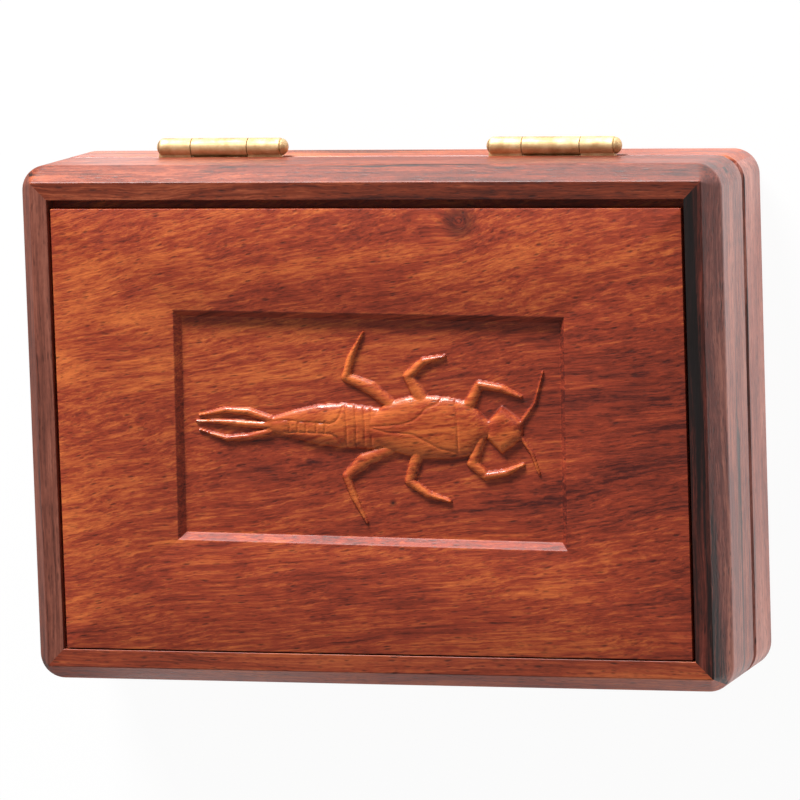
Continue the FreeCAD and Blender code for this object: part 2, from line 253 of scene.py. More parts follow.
woods = {
    # Lid panel: a slight painted falloff of the window's light, darker towards +X; the carving is lightened and the
    # recess walls get painted shade.
    "lid_panel": oiled_rosewood("rosewood, lid panel", "#4C140D", "#A03B20", "#DC7236",
                                bow=(0.17, 0.0016, -0.0008), painted_light_slope=(0.0006, 0.0), wander=8, band=5.5, seed=1.0, roughness=0.46, carving_lift_and_wall_shade=0.1,
                                pore=0.7, knots=[(19.5, 39.4, 1.7, 0.2), (4.2, -14.4, 0.35, 0.85)]),
    # Back rail: painted falloff of the light, the wood painted darker towards +X.
    "lid_back_rail": oiled_rosewood("rosewood, lid back rail", "#36110B", "#7A3018", "#B45C38", band=3,
                                    seed=2.0, wander=7, ink=0.05, painted_light_slope=(0.0009, -40.0)),
    "lid_front_rail": oiled_rosewood("rosewood, lid front rail", "#48180F", "#923A20", "#BE6032", band=3,
                                     seed=3.0, wander=7),
    "lid_left_stile": oiled_rosewood("rosewood, lid left stile", "#43201A", "#864A3A", "#A86652", grain_z=90,
                                     seed=4.0, wander=3, pore=0.5),
    # Right stile: painted light and shade, the face painted darker and the wall side painted lighter, in place of light
    # on the right wall.
    "lid_right_stile": oiled_rosewood("rosewood, lid right stile", "#2A100B", "#6C2C20", "#AA6450", grain_z=90,
                                      seed=5.0, wander=5, ink=0.2, band=3, painted_light_slope=(-0.033, 68.0),
                                      streak=(64.9, -0.04, 1.35)),
    "base": oiled_rosewood("rosewood, base rails", "#521C10", "#943E20", "#C06A36", seed=6.0, wander=5, pore=0.5,
                           ink=0.05, contrast=1.2),
    # Base stiles: a lighter copy of the base wood, painted light standing in for the light on the right wall; the left
    # stile shares it.
    "base_stiles_painted_light": oiled_rosewood("rosewood, base stiles, painted lighter", "#562820", "#985446", "#C8826E", grain_z=90,
                               seed=7.0, wander=5, ink=0.12),
    "base_panel": oiled_rosewood("rosewood, base panel", "#5A2212", "#8E3C20", "#B85E2E", grain_z=4,
                                 wander=12, seed=8.0),
}

# %% [markdown]
# ## Brass, steel and foam
# The hinges are drawn and stamped brass, tumbled to a satin finish, so they have faint lines along the barrel
# and a warm, slightly uneven tarnish. The magnets are nickel-plated steel-grey discs. The fly foam is
# closed-cell polyethylene: matte, pale, with a fine cell structure that shows as a soft mottling.


# %% Metals and foam
def satin_brass():
    material, tree = new_material("satin brass")
    place = add(tree, "ShaderNodeTexCoord")
    stretched = add(tree, "ShaderNodeMapping", {
        "Vector": place.outputs["Object"], "Scale": (140, 3200, 3200)})
    drawn = add(tree, "ShaderNodeTexNoise", {
        "Vector": stretched.outputs["Vector"], "Scale": 1.0, "Detail": 3.0, "Roughness": 0.6})
    patches = add(tree, "ShaderNodeTexNoise", {
        "Vector": place.outputs["Object"], "Scale": 420.0, "Detail": 3.0, "Roughness": 0.6})
    colour = add(tree, "ShaderNodeValToRGB", {"Fac": patches.outputs["Fac"]},
                 stops=[(0.3, linear("#B8966A")), (0.55, linear("#D4B88C")), (0.8, linear("#E2CEA8"))])
    rough = add(tree, "ShaderNodeMapRange", {
        "Value": drawn.outputs["Fac"], "From Min": 0.3, "From Max": 0.7, "To Min": 0.58, "To Max": 0.72})
    bump = add(tree, "ShaderNodeBump", {"Height": drawn.outputs["Fac"], "Strength": 0.25, "Distance": 0.00003})
    shader = add(tree, "ShaderNodeBsdfPrincipled", {
        "Base Color": colour.outputs["Color"], "Metallic": 1.0, "Roughness": rough.outputs["Result"],
        "Normal": bump.outputs["Normal"]})
    add(tree, "ShaderNodeOutputMaterial", {"Surface": shader.outputs["BSDF"]})
    return material


def nickel_plate():
    material, tree = new_material("nickel plate")
    place = add(tree, "ShaderNodeTexCoord")
    scuffs = add(tree, "ShaderNodeTexNoise", {
        "Vector": place.outputs["Object"], "Scale": 900.0, "Detail": 4.0, "Roughness": 0.6})
    rough = add(tree, "ShaderNodeMapRange", {
        "Value": scuffs.outputs["Fac"], "From Min": 0.3, "From Max": 0.7, "To Min": 0.18, "To Max": 0.36})
    shader = add(tree, "ShaderNodeBsdfPrincipled", {
        "Base Color": linear("#C9C6C0"), "Metallic": 1.0, "Roughness": rough.outputs["Result"]})
    add(tree, "ShaderNodeOutputMaterial", {"Surface": shader.outputs["BSDF"]})
    return material


def closed_cell_foam():
    material, tree = new_material("closed-cell foam")
    place = add(tree, "ShaderNodeTexCoord")
    cells = add(tree, "ShaderNodeTexVoronoi", {
        "Vector": place.outputs["Object"], "Scale": 2600.0, "Randomness": 1.0})
    mottle = add(tree, "ShaderNodeTexNoise", {
        "Vector": place.outputs["Object"], "Scale": 160.0, "Detail": 4.0, "Roughness": 0.6})
    colour = add(tree, "ShaderNodeValToRGB", {"Fac": mottle.outputs["Fac"]},
                 stops=[(0.3, linear("#D8CFBC")), (0.7, linear("#E9E3D4"))])
    bump = add(tree, "ShaderNodeBump", {
        "Height": cells.outputs["Distance"], "Strength": 0.5, "Distance": 0.0001})
    shader = add(tree, "ShaderNodeBsdfPrincipled", {
        "Base Color": colour.outputs["Color"], "Roughness": 0.85, "Normal": bump.outputs["Normal"]})
    add(tree, "ShaderNodeOutputMaterial", {"Surface": shader.outputs["BSDF"]})
    return material


brass, nickel, foam = satin_brass(), nickel_plate(), closed_cell_foam()


# %% [markdown]
# ## Pieces and their finish
# Every new piece takes the same last steps: its mesh is closed and smooth, with crisp shading only at real
# edges, it rides on the lid or the base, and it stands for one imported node.


# %% Finish a piece
def clean_copy(node):
    """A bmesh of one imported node, merged into closed skins with its flat faces made whole."""
    bm = bmesh.new()
    bm.from_mesh(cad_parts[node].data)
    bmesh.ops.remove_doubles(bm, verts=bm.verts, dist=2e-6)
    bmesh.ops.dissolve_limit(bm, angle_limit=math.radians(0.6), verts=bm.verts, edges=bm.edges)
    return bm


def soften(bm, radius):
    """Rolls over every edge that is sharper than 24 degrees."""
    corners = [e for e in bm.edges if e.is_manifold and e.calc_face_angle(0) > math.radians(24)]
    bmesh.ops.bevel(bm, geom=corners, offset=radius, segments=2, profile=0.5, affect="EDGES", clamp_overlap=True,
                    material=-1)


def finish_piece(bm, name, material, body, replaces=(), smooth_deg=32, level_flats=True):
    mesh = bpy.data.meshes.new(name)
    bm.to_mesh(mesh)
    bm.free()
    mesh.materials.append(material)
    mesh.shade_smooth()
    mesh.set_sharp_from_angle(angle=math.radians(smooth_deg))
    piece = bpy.data.objects.new(name, mesh)
    scene.collection.objects.link(piece)
    if level_flats:
        level = piece.modifiers.new("level the flats", "WEIGHTED_NORMAL")
        level.keep_sharp = True
    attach(piece, body)
    if replaces:
        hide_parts(*replaces)
    print(name, len(mesh.polygons), "faces")
    return piece


# %% [markdown]
# ## The two frames
# A joiner runs the moulding first and cuts the mitres after, and this does the same. A ring of points is drawn
# round the case and pulled along the moulding's outline, which closes on itself: wall, soft bend, bevel, flat
# face, opening, groove, rim and chamfer. Its corners are wide at the wall and tighten up the bevel, as a
# sanding block leaves them. Then the ring is sawn at 45 degrees into four, and the pockets for the hinges, the
# screws and the magnets are cut with Boolean modifiers.

# %% Sizes of the frames, in mm
HALF_X, HALF_Y, SEAM = 69.5, 50.0, 17.2
WALL, CORNER, GROOVE = 6.4, 5.0, 3.2
BEVEL_RUN, BEVEL_DROP, SOFT_BEND = 3.0, 4.1, 1.2
HEIGHT = {"lid": 20.4, "base": 17.2}
PANEL = {"lid": (7.0, 3.2), "base": (5.0, 2.4)}
HINGE_X, HINGE_LENGTH = (-34.3, 32.3), 24.8


# %% Outline of the moulding
def rolled(corners):
    """Closed outline whose corners (x, y, radius) are rolled over by arcs."""
    outline = []
    for i, (x, y, radius) in enumerate(corners):
        here = Vector((x, y))
        back = (Vector(corners[i - 1][:2]) - here).normalized()
        on = (Vector(corners[(i + 1) % len(corners)][:2]) - here).normalized()
        if radius == 0:
            outline.append(here)
            continue
        half = back.angle(on) / 2
        start = here + back * radius / math.tan(half)
        centre = here + (back + on).normalized() * radius / math.sin(half)
        turn = math.copysign(math.pi - 2 * half, -back.cross(on))
        steps = max(3, round(abs(math.degrees(turn)) / 6))
        for step in range(steps + 1):
            outline.append(centre + Matrix.Rotation(turn * step / steps, 2) @ (start - centre))
    return outline


def moulding(half):
    """Inset from the outer wall and height above the rim, all round the section of one rail."""
    height = HEIGHT[half]
    panel, tongue = PANEL[half]
    return rolled([
        (0, 1.1, 0.2), (0, height - BEVEL_DROP, SOFT_BEND), (BEVEL_RUN, height, 0.35), (WALL, height, 0.15),
        (WALL, height - panel + tongue, 0), (GROOVE, height - panel + tongue, 0), (GROOVE, height - panel, 0),
        (WALL, height - panel, 0.1), (WALL, 0, 0.2), (3.0, 0, 0), (0.8, 0.45, 0.15)])


# %% Pull the ring along the outline
CORNER_STEPS = 14


def ring_point(index, inset, z):
    """Place of one point of the ring: its corner's arc is wide at the wall and tight at the face."""
    if inset > BEVEL_RUN + 0.3:
        radius = 0.0
    elif z < 2:
        radius = CORNER - inset
    else:
        radius = max(0.5, CORNER * (1 - inset / 2.4))
    corner, step = divmod(index, CORNER_STEPS + 1)
    angle = math.radians(90 * (corner + step / CORNER_STEPS))
    side_x = 1 if corner in (0, 3) else -1
    side_y = 1 if corner in (0, 1) else -1
    x = side_x * (HALF_X - inset - radius) + radius * math.cos(angle)
    y = side_y * (HALF_Y - inset - radius) + radius * math.sin(angle)
    return x, y


def frame_ring(half):
    up = 1 if half == "lid" else -1
    bm = bmesh.new()
    number = bm.verts.layers.int.new("number")
    first = bmesh.ops.create_circle(bm, segments=4 * (CORNER_STEPS + 1), radius=1.0)["verts"]
    for index, vert in enumerate(first):
        vert[number] = index
    outline = moulding(half)
    rim = list(bm.edges)
    first_rim = rim
    for step, (inset, z) in enumerate(outline):
        ring = first
        if step:
            made = bmesh.ops.extrude_edge_only(bm, edges=rim)["geom"]
            ring = [g for g in made if isinstance(g, bmesh.types.BMVert)]
            inside = set(ring)
            rim = [e for v in ring for e in v.link_edges if e.other_vert(v) in inside]
            rim = list(dict.fromkeys(rim))
        for vert in ring:
            x, y = ring_point(vert[number], inset, z)
            vert.co = Vector((x, y, SEAM + up * z)) * MM
    bmesh.ops.bridge_loops(bm, edges=first_rim + rim)
    bmesh.ops.remove_doubles(bm, verts=bm.verts, dist=1e-6)
    bmesh.ops.recalc_face_normals(bm, faces=bm.faces)
    return bm


def sawn(ring, side):
    """One rail of the ring: the part on one side of the two 45 degree cuts, with its ends closed."""
    bm = ring.copy()
    out = {"back": (0, 1), "front": (0, -1), "left": (-1, 0), "right": (1, 0)}[side]
    for hand in (1, -1):
        along = (hand, 0) if out[1] else (0, hand)
        corner = Vector((HALF_X * (along[0] or out[0]), HALF_Y * (along[1] or out[1]), 0)) * MM
        away = Vector((along[0] - out[0], along[1] - out[1], 0)).normalized()
        bmesh.ops.bisect_plane(bm, geom=bm.verts[:] + bm.edges[:] + bm.faces[:], dist=1e-7, plane_co=corner,
                               plane_no=away, clear_outer=True)
    bmesh.ops.holes_fill(bm, edges=[e for e in bm.edges if e.is_boundary], sides=0)
    bmesh.ops.recalc_face_normals(bm, faces=bm.faces)
    return bm


# %% Pockets
def block(bm, low, high):
    made = bmesh.ops.create_cube(bm, size=1.0)["verts"]
    size, middle = Vector(high) - Vector(low), (Vector(high) + Vector(low)) / 2
    bmesh.ops.scale(bm, vec=size * MM, verts=made)
    bmesh.ops.translate(bm, vec=middle * MM, verts=made)


def spindle(bm, place, up, low_radius, high_radius, start, end):
    """Round cutter along Z: its radius runs from low_radius at start to high_radius at end."""
    made = bmesh.ops.create_cone(bm, cap_ends=True, segments=40, radius1=low_radius * MM, radius2=high_radius * MM,
                                 depth=(end - start) * MM)["verts"]
    bmesh.ops.rotate(bm, verts=made, cent=(0, 0, 0), matrix=Matrix.Rotation(0 if up > 0 else math.pi, 3, "X"))
    middle = SEAM + up * (start + end) / 2
    bmesh.ops.translate(bm, vec=Vector((place[0], place[1], middle)) * MM, verts=made)


def cut(bm, cutter):
    """Takes the cutter's volume out of a piece with a Boolean modifier."""
    holders = []
    for source in (bm, cutter):
        mesh = bpy.data.meshes.new("cut")
        source.to_mesh(mesh)
        source.free()
        holders.append(bpy.data.objects.new("cut", mesh))
        scene.collection.objects.link(holders[-1])
    body, tool = holders
    boolean = body.modifiers.new("cut", "BOOLEAN")
    boolean.object = tool
    boolean.operation = "DIFFERENCE"
    boolean.solver = "EXACT"
    result = bmesh.new()
    result.from_object(body, bpy.context.evaluated_depsgraph_get())
    for holder in holders:
        bpy.data.objects.remove(holder)
    return result


def pockets(bm, half, side):
    up = 1 if half == "lid" else -1
    steps = []
    if side == "back":
        for x in HINGE_X:
            reach = HINGE_LENGTH / 2 + 0.05
            low, high = sorted((SEAM - up, SEAM + up * 1.05))
            steps.append(("block", (x - reach, HALF_Y - 5.45, low), (x + reach, HALF_Y + 1, high)))
            for hand in (-7.5, 7.5):
                steps.append(("spindle", (x + hand, HALF_Y - 2.9), 0.8, 0.8, 0.8, 5.95))
                steps.append(("spindle", (x + hand, HALF_Y - 2.9), 0.8, 0.1, 5.9, 7.55))
    if side == "front":
        for x in (-46.0, 46.0):
            steps.append(("spindle", (x, WALL / 2 - HALF_Y), 2.0, 2.0, -1.0, 3.1))
    for kind, *rest in steps:
        cutter = bmesh.new()
        if kind == "block":
            block(cutter, *rest)
        else:
            place, *shape = rest
            spindle(cutter, place, up, *shape)
        bm = cut(bm, cutter)
    return bm


# %% Saw the frames and finish the rails
for half in ("lid", "base"):
    ring = frame_ring(half)
    for side, kind in (("back", "rail"), ("front", "rail"), ("left", "stile"), ("right", "stile")):
        node = half + "_" + side + "_" + kind
        rail = pockets(sawn(ring, side), half, side)
        wood = woods.get(node) or woods["base_stiles_painted_light" if kind == "stile" else "base"]
        finish_piece(rail, node + "_moulded", wood, half, [node])
    ring.free()

# %% [markdown]
# ## Hinges, screws and magnets
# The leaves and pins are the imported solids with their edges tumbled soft. The screws and magnets stay as they
# are and only get their metal.

# %% Metal parts
axis_y = 51.85 * MM
for node in [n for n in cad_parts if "leaf" in n or "pin" in n]:
    bm = clean_copy(node)
    if "lid_leaf" in node:
        for end, radius in ((min(v.co.x for v in bm.verts), 0.75), (max(v.co.x for v in bm.verts), 0.35)):
            rim = [e for e in bm.edges if all(
                abs(v.co.x - end) < 0.001 * MM and abs(math.dist(v.co.yz, (axis_y, SEAM * MM)) - 1.75 * MM) < 0.01 * MM
                for v in e.verts)]
            bmesh.ops.bevel(bm, geom=rim, offset=radius * MM, segments=5, profile=0.5, affect="EDGES", material=-1)
    if "pin" in node:
        right = max(v.co.x for v in bm.verts) - 1.3 * MM
        rim = [e for e in bm.edges if all(
            abs(v.co.x - right) < 0.002 * MM and math.hypot(v.co.y - axis_y, v.co.z - SEAM * MM) > 1.6 * MM
            for v in e.verts)]
        bmesh.ops.bevel(bm, geom=rim, offset=0.3 * MM, segments=4, profile=0.5, affect="EDGES", material=-1)
        print(node, len(rim), "rim edges")
    soften(bm, 0.17 * MM)
    body = "lid" if "pin" in node or "lid" in node else "base"
    finish_piece(bm, node + "_tumbled", brass, body, [node])

for nodes, metal in ((("lid_hinge_screws", "base_hinge_screws"), brass), (("lid_magnets", "base_magnets"), nickel)):
    for node in nodes:
        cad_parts[node].data.materials.clear()
        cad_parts[node].data.materials.append(metal)

# %% [markdown]
# ## The carved lid panel
# The carver sinks a shallow rectangular field into the panel and leaves the nymph standing in it, so the
# insect and the ground are one piece of wood. A sheet of small faces, 0.19 mm each, stands for the ground;
# the carving lifts its points with a few simple laws: a limb is a rounded ridge along a line of joints, a body
# is a rounded ridge whose width and height change along its length. Then the sheet's rim is extruded up
# the sloped sides, out over the face, and down round the panel's edge and its tongue.

# %% Heights of the carving
RECESS = {"width": 77.8, "depth_y": 44.5, "deep": 1.5, "slope": 1.5, "x": 0.3, "y": -0.2, "tilt": -0.8}


def ridge(x, y, points, widths, height, power=0.6):
    """Rounded ridge along joined straight runs; widths are full widths at the points."""
    top = np.zeros_like(x)
    for (ax, ay), (bx, by), wa, wb in zip(points, points[1:], widths, widths[1:]):
        run = np.hypot(bx - ax, by - ay)
        t = np.clip(((x - ax) * (bx - ax) + (y - ay) * (by - ay)) / run ** 2, 0, 1)
        away = np.hypot(x - ax - t * (bx - ax), y - ay - t * (by - ay))
        half = (wa + (wb - wa) * t) / 2
        rise = height * (0.55 + 0.45 * half / (max(widths) / 2))
        top = np.maximum(top, rise * np.clip(1 - (away / half) ** 2, 0, 1) ** power)
    return top


def trunk(x, y, stations, power=0.5):
    """Rounded body; each station is x, middle y, half width, height."""
    xs, mids, halves, heights = (np.array(c, dtype=float) for c in zip(*stations))
    mid = np.interp(x, xs, mids)
    half = np.interp(x, xs, halves)
    high = np.interp(x, xs, heights)
    inside = (x >= xs[0]) & (x <= xs[-1])
    across = np.abs(y - mid) / half
    return np.where(inside, high * np.clip(1 - across ** 2.4, 0, 1) ** power, 0.0)


def groove(x, y, points, width, depth):
    """Soft V cut along joined straight runs."""
    cut = np.zeros_like(x)
    for (ax, ay), (bx, by) in zip(points, points[1:]):
        run = np.hypot(bx - ax, by - ay)
        t = np.clip(((x - ax) * (bx - ax) + (y - ay) * (by - ay)) / run ** 2, 0, 1)
        away = np.hypot(x - ax - t * (bx - ax), y - ay - t * (by - ay))
        cut = np.maximum(cut, depth * np.exp(-(away / (width / 2)) ** 2))
    return cut


def nymph_height(x, y):
    """Height in mm above the ground at x, y in mm, measured from the centre of the lid."""
    legs = [
        ([(4.6, 4.4), (0.5, 7.6), (-4.3, 9.7)], [2.2, 2.7, 1.9]),
        ([(-4.3, 9.7), (-3.2, 13.6), (-0.7, 18.2)], [1.7, 1.4, 0.5]),
        ([(10.6, 5.4), (8.1, 9.9)], [2.8, 2.1]),
        ([(8.1, 10.0), (11.2, 12.8), (15.4, 13.8)], [1.9, 1.6, 0.6]),
        ([(19.6, 3.8), (22.1, 8.4)], [2.6, 1.8]),
        ([(22.1, 8.4), (26.4, 7.7), (30.1, 6.2)], [1.7, 1.6, 0.8]),
        ([(4.2, -4.0), (-1.2, -6.3), (-4.6, -9.3)], [2.2, 3.0, 2.1]),
        ([(-4.8, -9.3), (-3.4, -13.3), (-1.0, -18.2)], [1.7, 1.4, 0.5]),
        ([(9.4, -5.2), (7.7, -10.1)], [2.6, 2.0]),
        ([(7.7, -10.1), (11.2, -12.6), (15.6, -13.9)], [1.8, 1.5, 0.7]),
        ([(22.2, -2.0), (20.3, -6.6), (22.9, -9.0)], [1.9, 2.3, 1.8]),
        ([(22.9, -9.0), (26.9, -8.3), (30.2, -6.8)], [1.6, 1.4, 0.7]),
    ]
    top = np.zeros_like(x)
    for points, widths in legs:
        top = np.maximum(top, ridge(x, y, points, widths, 0.85))
    for points in ([(29.9, 0.9), (32.9, 5.0), (34.6, 10.8)], [(29.9, -1.4), (32.0, -4.6), (33.4, -8.6)]):
        top = np.maximum(top, ridge(x, y, points, [1.0, 0.75, 0.45], 0.55))
    for points in ([(-19.6, 1.4), (-24.0, 2.9), (-28.6, 3.2), (-34.0, 2.2)],
                   [(-19.6, 0.3), (-24.0, 0.5), (-28.6, 0.9), (-34.6, 1.1)],
                   [(-19.6, -0.8), (-24.0, -1.9), (-28.6, -2.3), (-34.0, -0.6)]):
        top = np.maximum(top, ridge(x, y, points, [1.6, 1.5, 1.2, 0.4], 0.75))
    abdomen = trunk(x, y, [(-21.2, 0.4, 0.7, 0.5), (-19.7, 0.4, 1.4, 0.8), (-15.0, 0.5, 2.75, 1.05),
                           (-10.0, 0.45, 3.95, 1.25), (-4.8, 0.35, 4.35, 1.3), (1.0, -0.1, 4.05, 1.25),
                           (2.5, -0.1, 4.0, 1.2)])
    lines = np.zeros_like(x)
    for points in ([(-4.9, 4.2), (-5.7, 2.1), (-6.5, 1.2), (-7.7, 0.8), (-11.2, 1.0), (-16.7, 1.4), (-19.0, 1.1)],
                   [(-4.6, -4.2), (-5.9, -2.7), (-6.3, -1.8), (-7.5, -1.1), (-13.8, -0.9), (-16.8, -0.9)]):
        lines = np.maximum(lines, groove(x, y, points, 0.42, 0.15))
    for sx in (-4.4, -2.5, -0.8, 0.6):
        lines = np.maximum(lines, groove(x, y, [(sx - 0.15, 5.0), (sx + 0.2, 0.0), (sx - 0.2, -5.0)], 0.46, 0.2))
    for sx in (-15.7, -14.0, -12.3, -10.2, -8.5):
        lines = np.maximum(lines, groove(x, y, [(sx, 1.1), (sx - 0.1, -0.9)], 0.42, 0.18))
    abdomen -= lines * (abdomen > 0.25)
    thorax = trunk(x, y, [(-0.6, 0.2, 0.6, 0.7), (0.4, 0.1, 2.2, 1.25), (1.6, 0.1, 3.3, 1.4), (3.9, 0.3, 4.6, 1.5),
                          (7.4, 0.3, 5.6, 1.5), (10.8, 0.25, 6.15, 1.5), (16.0, 0.0, 5.9, 1.45),
                          (17.8, -0.05, 5.6, 1.35), (20.0, 0.0, 5.1, 1.3), (21.7, 0.4, 3.1, 1.15),
                          (23.2, 0.1, 1.8, 0.9), (24.2, 0.0, 1.3, 0.8)])
    lines = groove(x, y, [(17.2, 6.5), (17.7, 2.1), (17.8, -1.5), (17.5, -6.6)], 0.45, 0.17)
    for points in ([(15.2, 6.4), (13.8, 4.8), (11.5, 3.8), (10.6, 2.7), (8.9, 1.5), (6.3, 0.8), (3.2, 0.5), (0.6, 0.4)],
                   [(0.6, 0.1), (3.7, -0.7), (8.8, -1.0), (12.0, -2.6), (14.0, -3.7), (17.6, -4.5)]):
        lines = np.maximum(lines, groove(x, y, points, 0.4, 0.13))
    thorax -= lines * (thorax > 0.3)
    head_shape = [(23.4, 1.4), (26.3, 4.5), (30.4, 1.5), (30.5, -1.8), (26.2, -4.9), (23.2, -1.9)]
    edge = np.full_like(x, 99.0)
    for (ax, ay), (bx, by) in zip(head_shape, head_shape[1:] + head_shape[:1]):
        run = np.hypot(bx - ax, by - ay)
        edge = np.minimum(edge, ((x - ax) * (by - ay) - (y - ay) * (bx - ax)) / run)
    head = np.where(edge > 0, 1.3 * (1 - np.exp(-np.clip(edge, 0, 9) / 0.62)), 0.0)
    return np.clip(np.maximum.reduce([top, abdomen, thorax, head]), 0, 1.5)


# %% Build the panel round the carving
def loop_edges(bm):
    return [e for e in bm.edges if e.is_boundary]


def carved_panel():
    low, high = (Vector(c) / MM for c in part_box("lid_panel"))
    flat_x, flat_y = RECESS["width"] / 2 - RECESS["slope"], RECESS["depth_y"] / 2 - RECESS["slope"]
    across, deep = round(2 * flat_x / 0.19), round(2 * flat_y / 0.19)
    bm = bmesh.new()
    bm.verts.layers.float.new("carving")
    bmesh.ops.create_grid(bm, x_segments=across, y_segments=deep, size=1.0)
    tilt = Matrix.Rotation(math.radians(RECESS["tilt"]), 3, "Z")
    centre = Vector((RECESS["x"], RECESS["y"], 0))
    verts = list(bm.verts)
    flat = np.array([v.co[:] for v in verts]) * np.array([flat_x, flat_y, 0.0])
    lifted = flat @ np.array(tilt).T + np.array(centre)
    heights = nymph_height(lifted[:, 0], lifted[:, 1])
    carving = bm.verts.layers.float["carving"]
    for vert, point, height in zip(verts, lifted, heights):
        vert.co = (point[0], point[1], high.z - RECESS["deep"] + height)
        vert[carving] = min(height / 0.6, 1.0)
    at_rest = dict(zip(verts, flat))

    def next_ring(move):
        """Extrudes the open rim once and places each new point with move(x, y) of its start on the flat sheet."""
        rim = loop_edges(bm)
        made = bmesh.ops.extrude_edge_only(bm, edges=rim)["geom"]
        fresh = [g for g in made if isinstance(g, bmesh.types.BMVert)]
        new = set(fresh)
        for vert in fresh:
            old = next(e.other_vert(vert) for e in vert.link_edges if e.other_vert(vert) not in new)
            at_rest[vert] = at_rest[old]
            x, y, z = move(at_rest[vert][0], at_rest[vert][1])
            vert.co = (x, y, z)
        return fresh

    def sloped(inset, z):
        def move(x, y):
            point = tilt @ Vector((x * (flat_x + inset) / flat_x, y * (flat_y + inset) / flat_y, 0)) + centre
            return point.x, point.y, z
        return move

    def square(half_x, half_y, mid_x, mid_y, z):
        return lambda x, y: (mid_x + x / flat_x * half_x, mid_y + y / flat_y * half_y, z)

    run = RECESS["slope"]
    for share, rise in ((0.07, 0.02), (0.14, 0.09), (0.22, 0.21), (0.8, 0.81), (0.88, 0.92), (0.96, 0.98), (1.05, 1.0)):
        for vert in next_ring(sloped(run * share, high.z - RECESS["deep"] * (1 - rise))):
            # Painted shade: the sloped recess walls are marked -0.5, which paints them darker and makes them rougher.
            vert[carving] = -0.5 if 0.1 < share < 0.9 else 0.0
    mid_x, mid_y = (low.x + high.x) / 2, (low.y + high.y) / 2
    field_x, field_y = 63.1 - 0.65, 43.6 - 1.0
    soft = 0.06
    for step in range(4):
        angle = math.radians(30 * step)
        inset = soft * (1 - math.sin(angle))
        next_ring(square(field_x - inset, field_y - inset, mid_x, mid_y, high.z - soft * (1 - math.cos(angle))))
    tongue_x, tongue_y = (high.x - low.x) / 2, (high.y - low.y) / 2
    next_ring(square(field_x, field_y, mid_x, mid_y, low.z + 3.2))
    next_ring(square(tongue_x, tongue_y, mid_x, mid_y, low.z + 3.2))
    next_ring(square(tongue_x, tongue_y, mid_x, mid_y, low.z))
    bmesh.ops.contextual_create(bm, geom=loop_edges(bm))
    bmesh.ops.scale(bm, vec=(MM, MM, MM), verts=bm.verts)
    bmesh.ops.recalc_face_normals(bm, faces=bm.faces)
    return finish_piece(bm, "lid_panel_carved", woods["lid_panel"], "lid", ["lid_panel"], 40, False)


carved_panel()

# %% Base panel
bm = clean_copy("base_panel")
soften(bm, 0.25 * MM)
finish_piece(bm, "base_panel_planed", woods["base_panel"], "base", ["base_panel"])


# %% [markdown]
# ## Slit foam
# Each half holds a sheet of foam with rows of short slits, and a hook is pushed into a slit. The sheet starts
# as a grid with one face for each slit; each face is inset until a thin sliver is left, and the sliver is
# pushed down and pinched shut.


# %% Foam sheets
def slit_foam(node, body, facing):
    low, high = (Vector(c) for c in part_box(node))
    size = high - low
    bm = bmesh.new()
    bmesh.ops.create_grid(bm, x_segments=11, y_segments=12, size=0.5)
    bmesh.ops.scale(bm, vec=(size.x - 0.8 * MM, size.y - 0.8 * MM, 1), verts=bm.verts)
    cells = list(bm.faces)
    bmesh.ops.inset_individual(bm, faces=cells, thickness=3.42 * MM, use_even_offset=True)
    slits = cells
    made = bmesh.ops.extrude_discrete_faces(bm, faces=slits)
    floor = [f for f in made["faces"]]
    for face in floor:
        middle = face.calc_center_median()
        for vert in face.verts:
            vert.co.z -= 2.6 * MM
            vert.co.y = middle.y + (vert.co.y - middle.y) * 0.1
    rim = [e for e in bm.edges if e.is_boundary]
    for drop, out in ((0.25, 0.3), (0.6, 0.4)):
        made = bmesh.ops.extrude_edge_only(bm, edges=[e for e in bm.edges if e.is_boundary])["geom"]
        for vert in [g for g in made if isinstance(g, bmesh.types.BMVert)]:
            vert.co.x = math.copysign(size.x / 2 - (0.4 - out) * MM, vert.co.x) if abs(vert.co.x) > size.x / 2 - MM else vert.co.x
            vert.co.y = math.copysign(size.y / 2 - (0.4 - out) * MM, vert.co.y) if abs(vert.co.y) > size.y / 2 - MM else vert.co.y
            vert.co.z = -drop * MM
    made = bmesh.ops.extrude_edge_only(bm, edges=[e for e in bm.edges if e.is_boundary])["geom"]
    for vert in [g for g in made if isinstance(g, bmesh.types.BMVert)]:
        vert.co.z = -size.z
    bmesh.ops.contextual_create(bm, geom=[e for e in bm.edges if e.is_boundary])
    if facing < 0:
        bmesh.ops.rotate(bm, verts=bm.verts, cent=(0, 0, 0), matrix=Matrix.Rotation(math.pi, 3, "X"))
    middle = (low + high) / 2
    bmesh.ops.translate(bm, verts=bm.verts, vec=(middle.x, middle.y, high.z if facing > 0 else low.z))
    bmesh.ops.recalc_face_normals(bm, faces=bm.faces)
    piece = finish_piece(bm, node + "_slit", foam, body, [node], 50)
    return piece


slit_foam("base_foam", "base", 1)
slit_foam("lid_foam", "lid", -1)
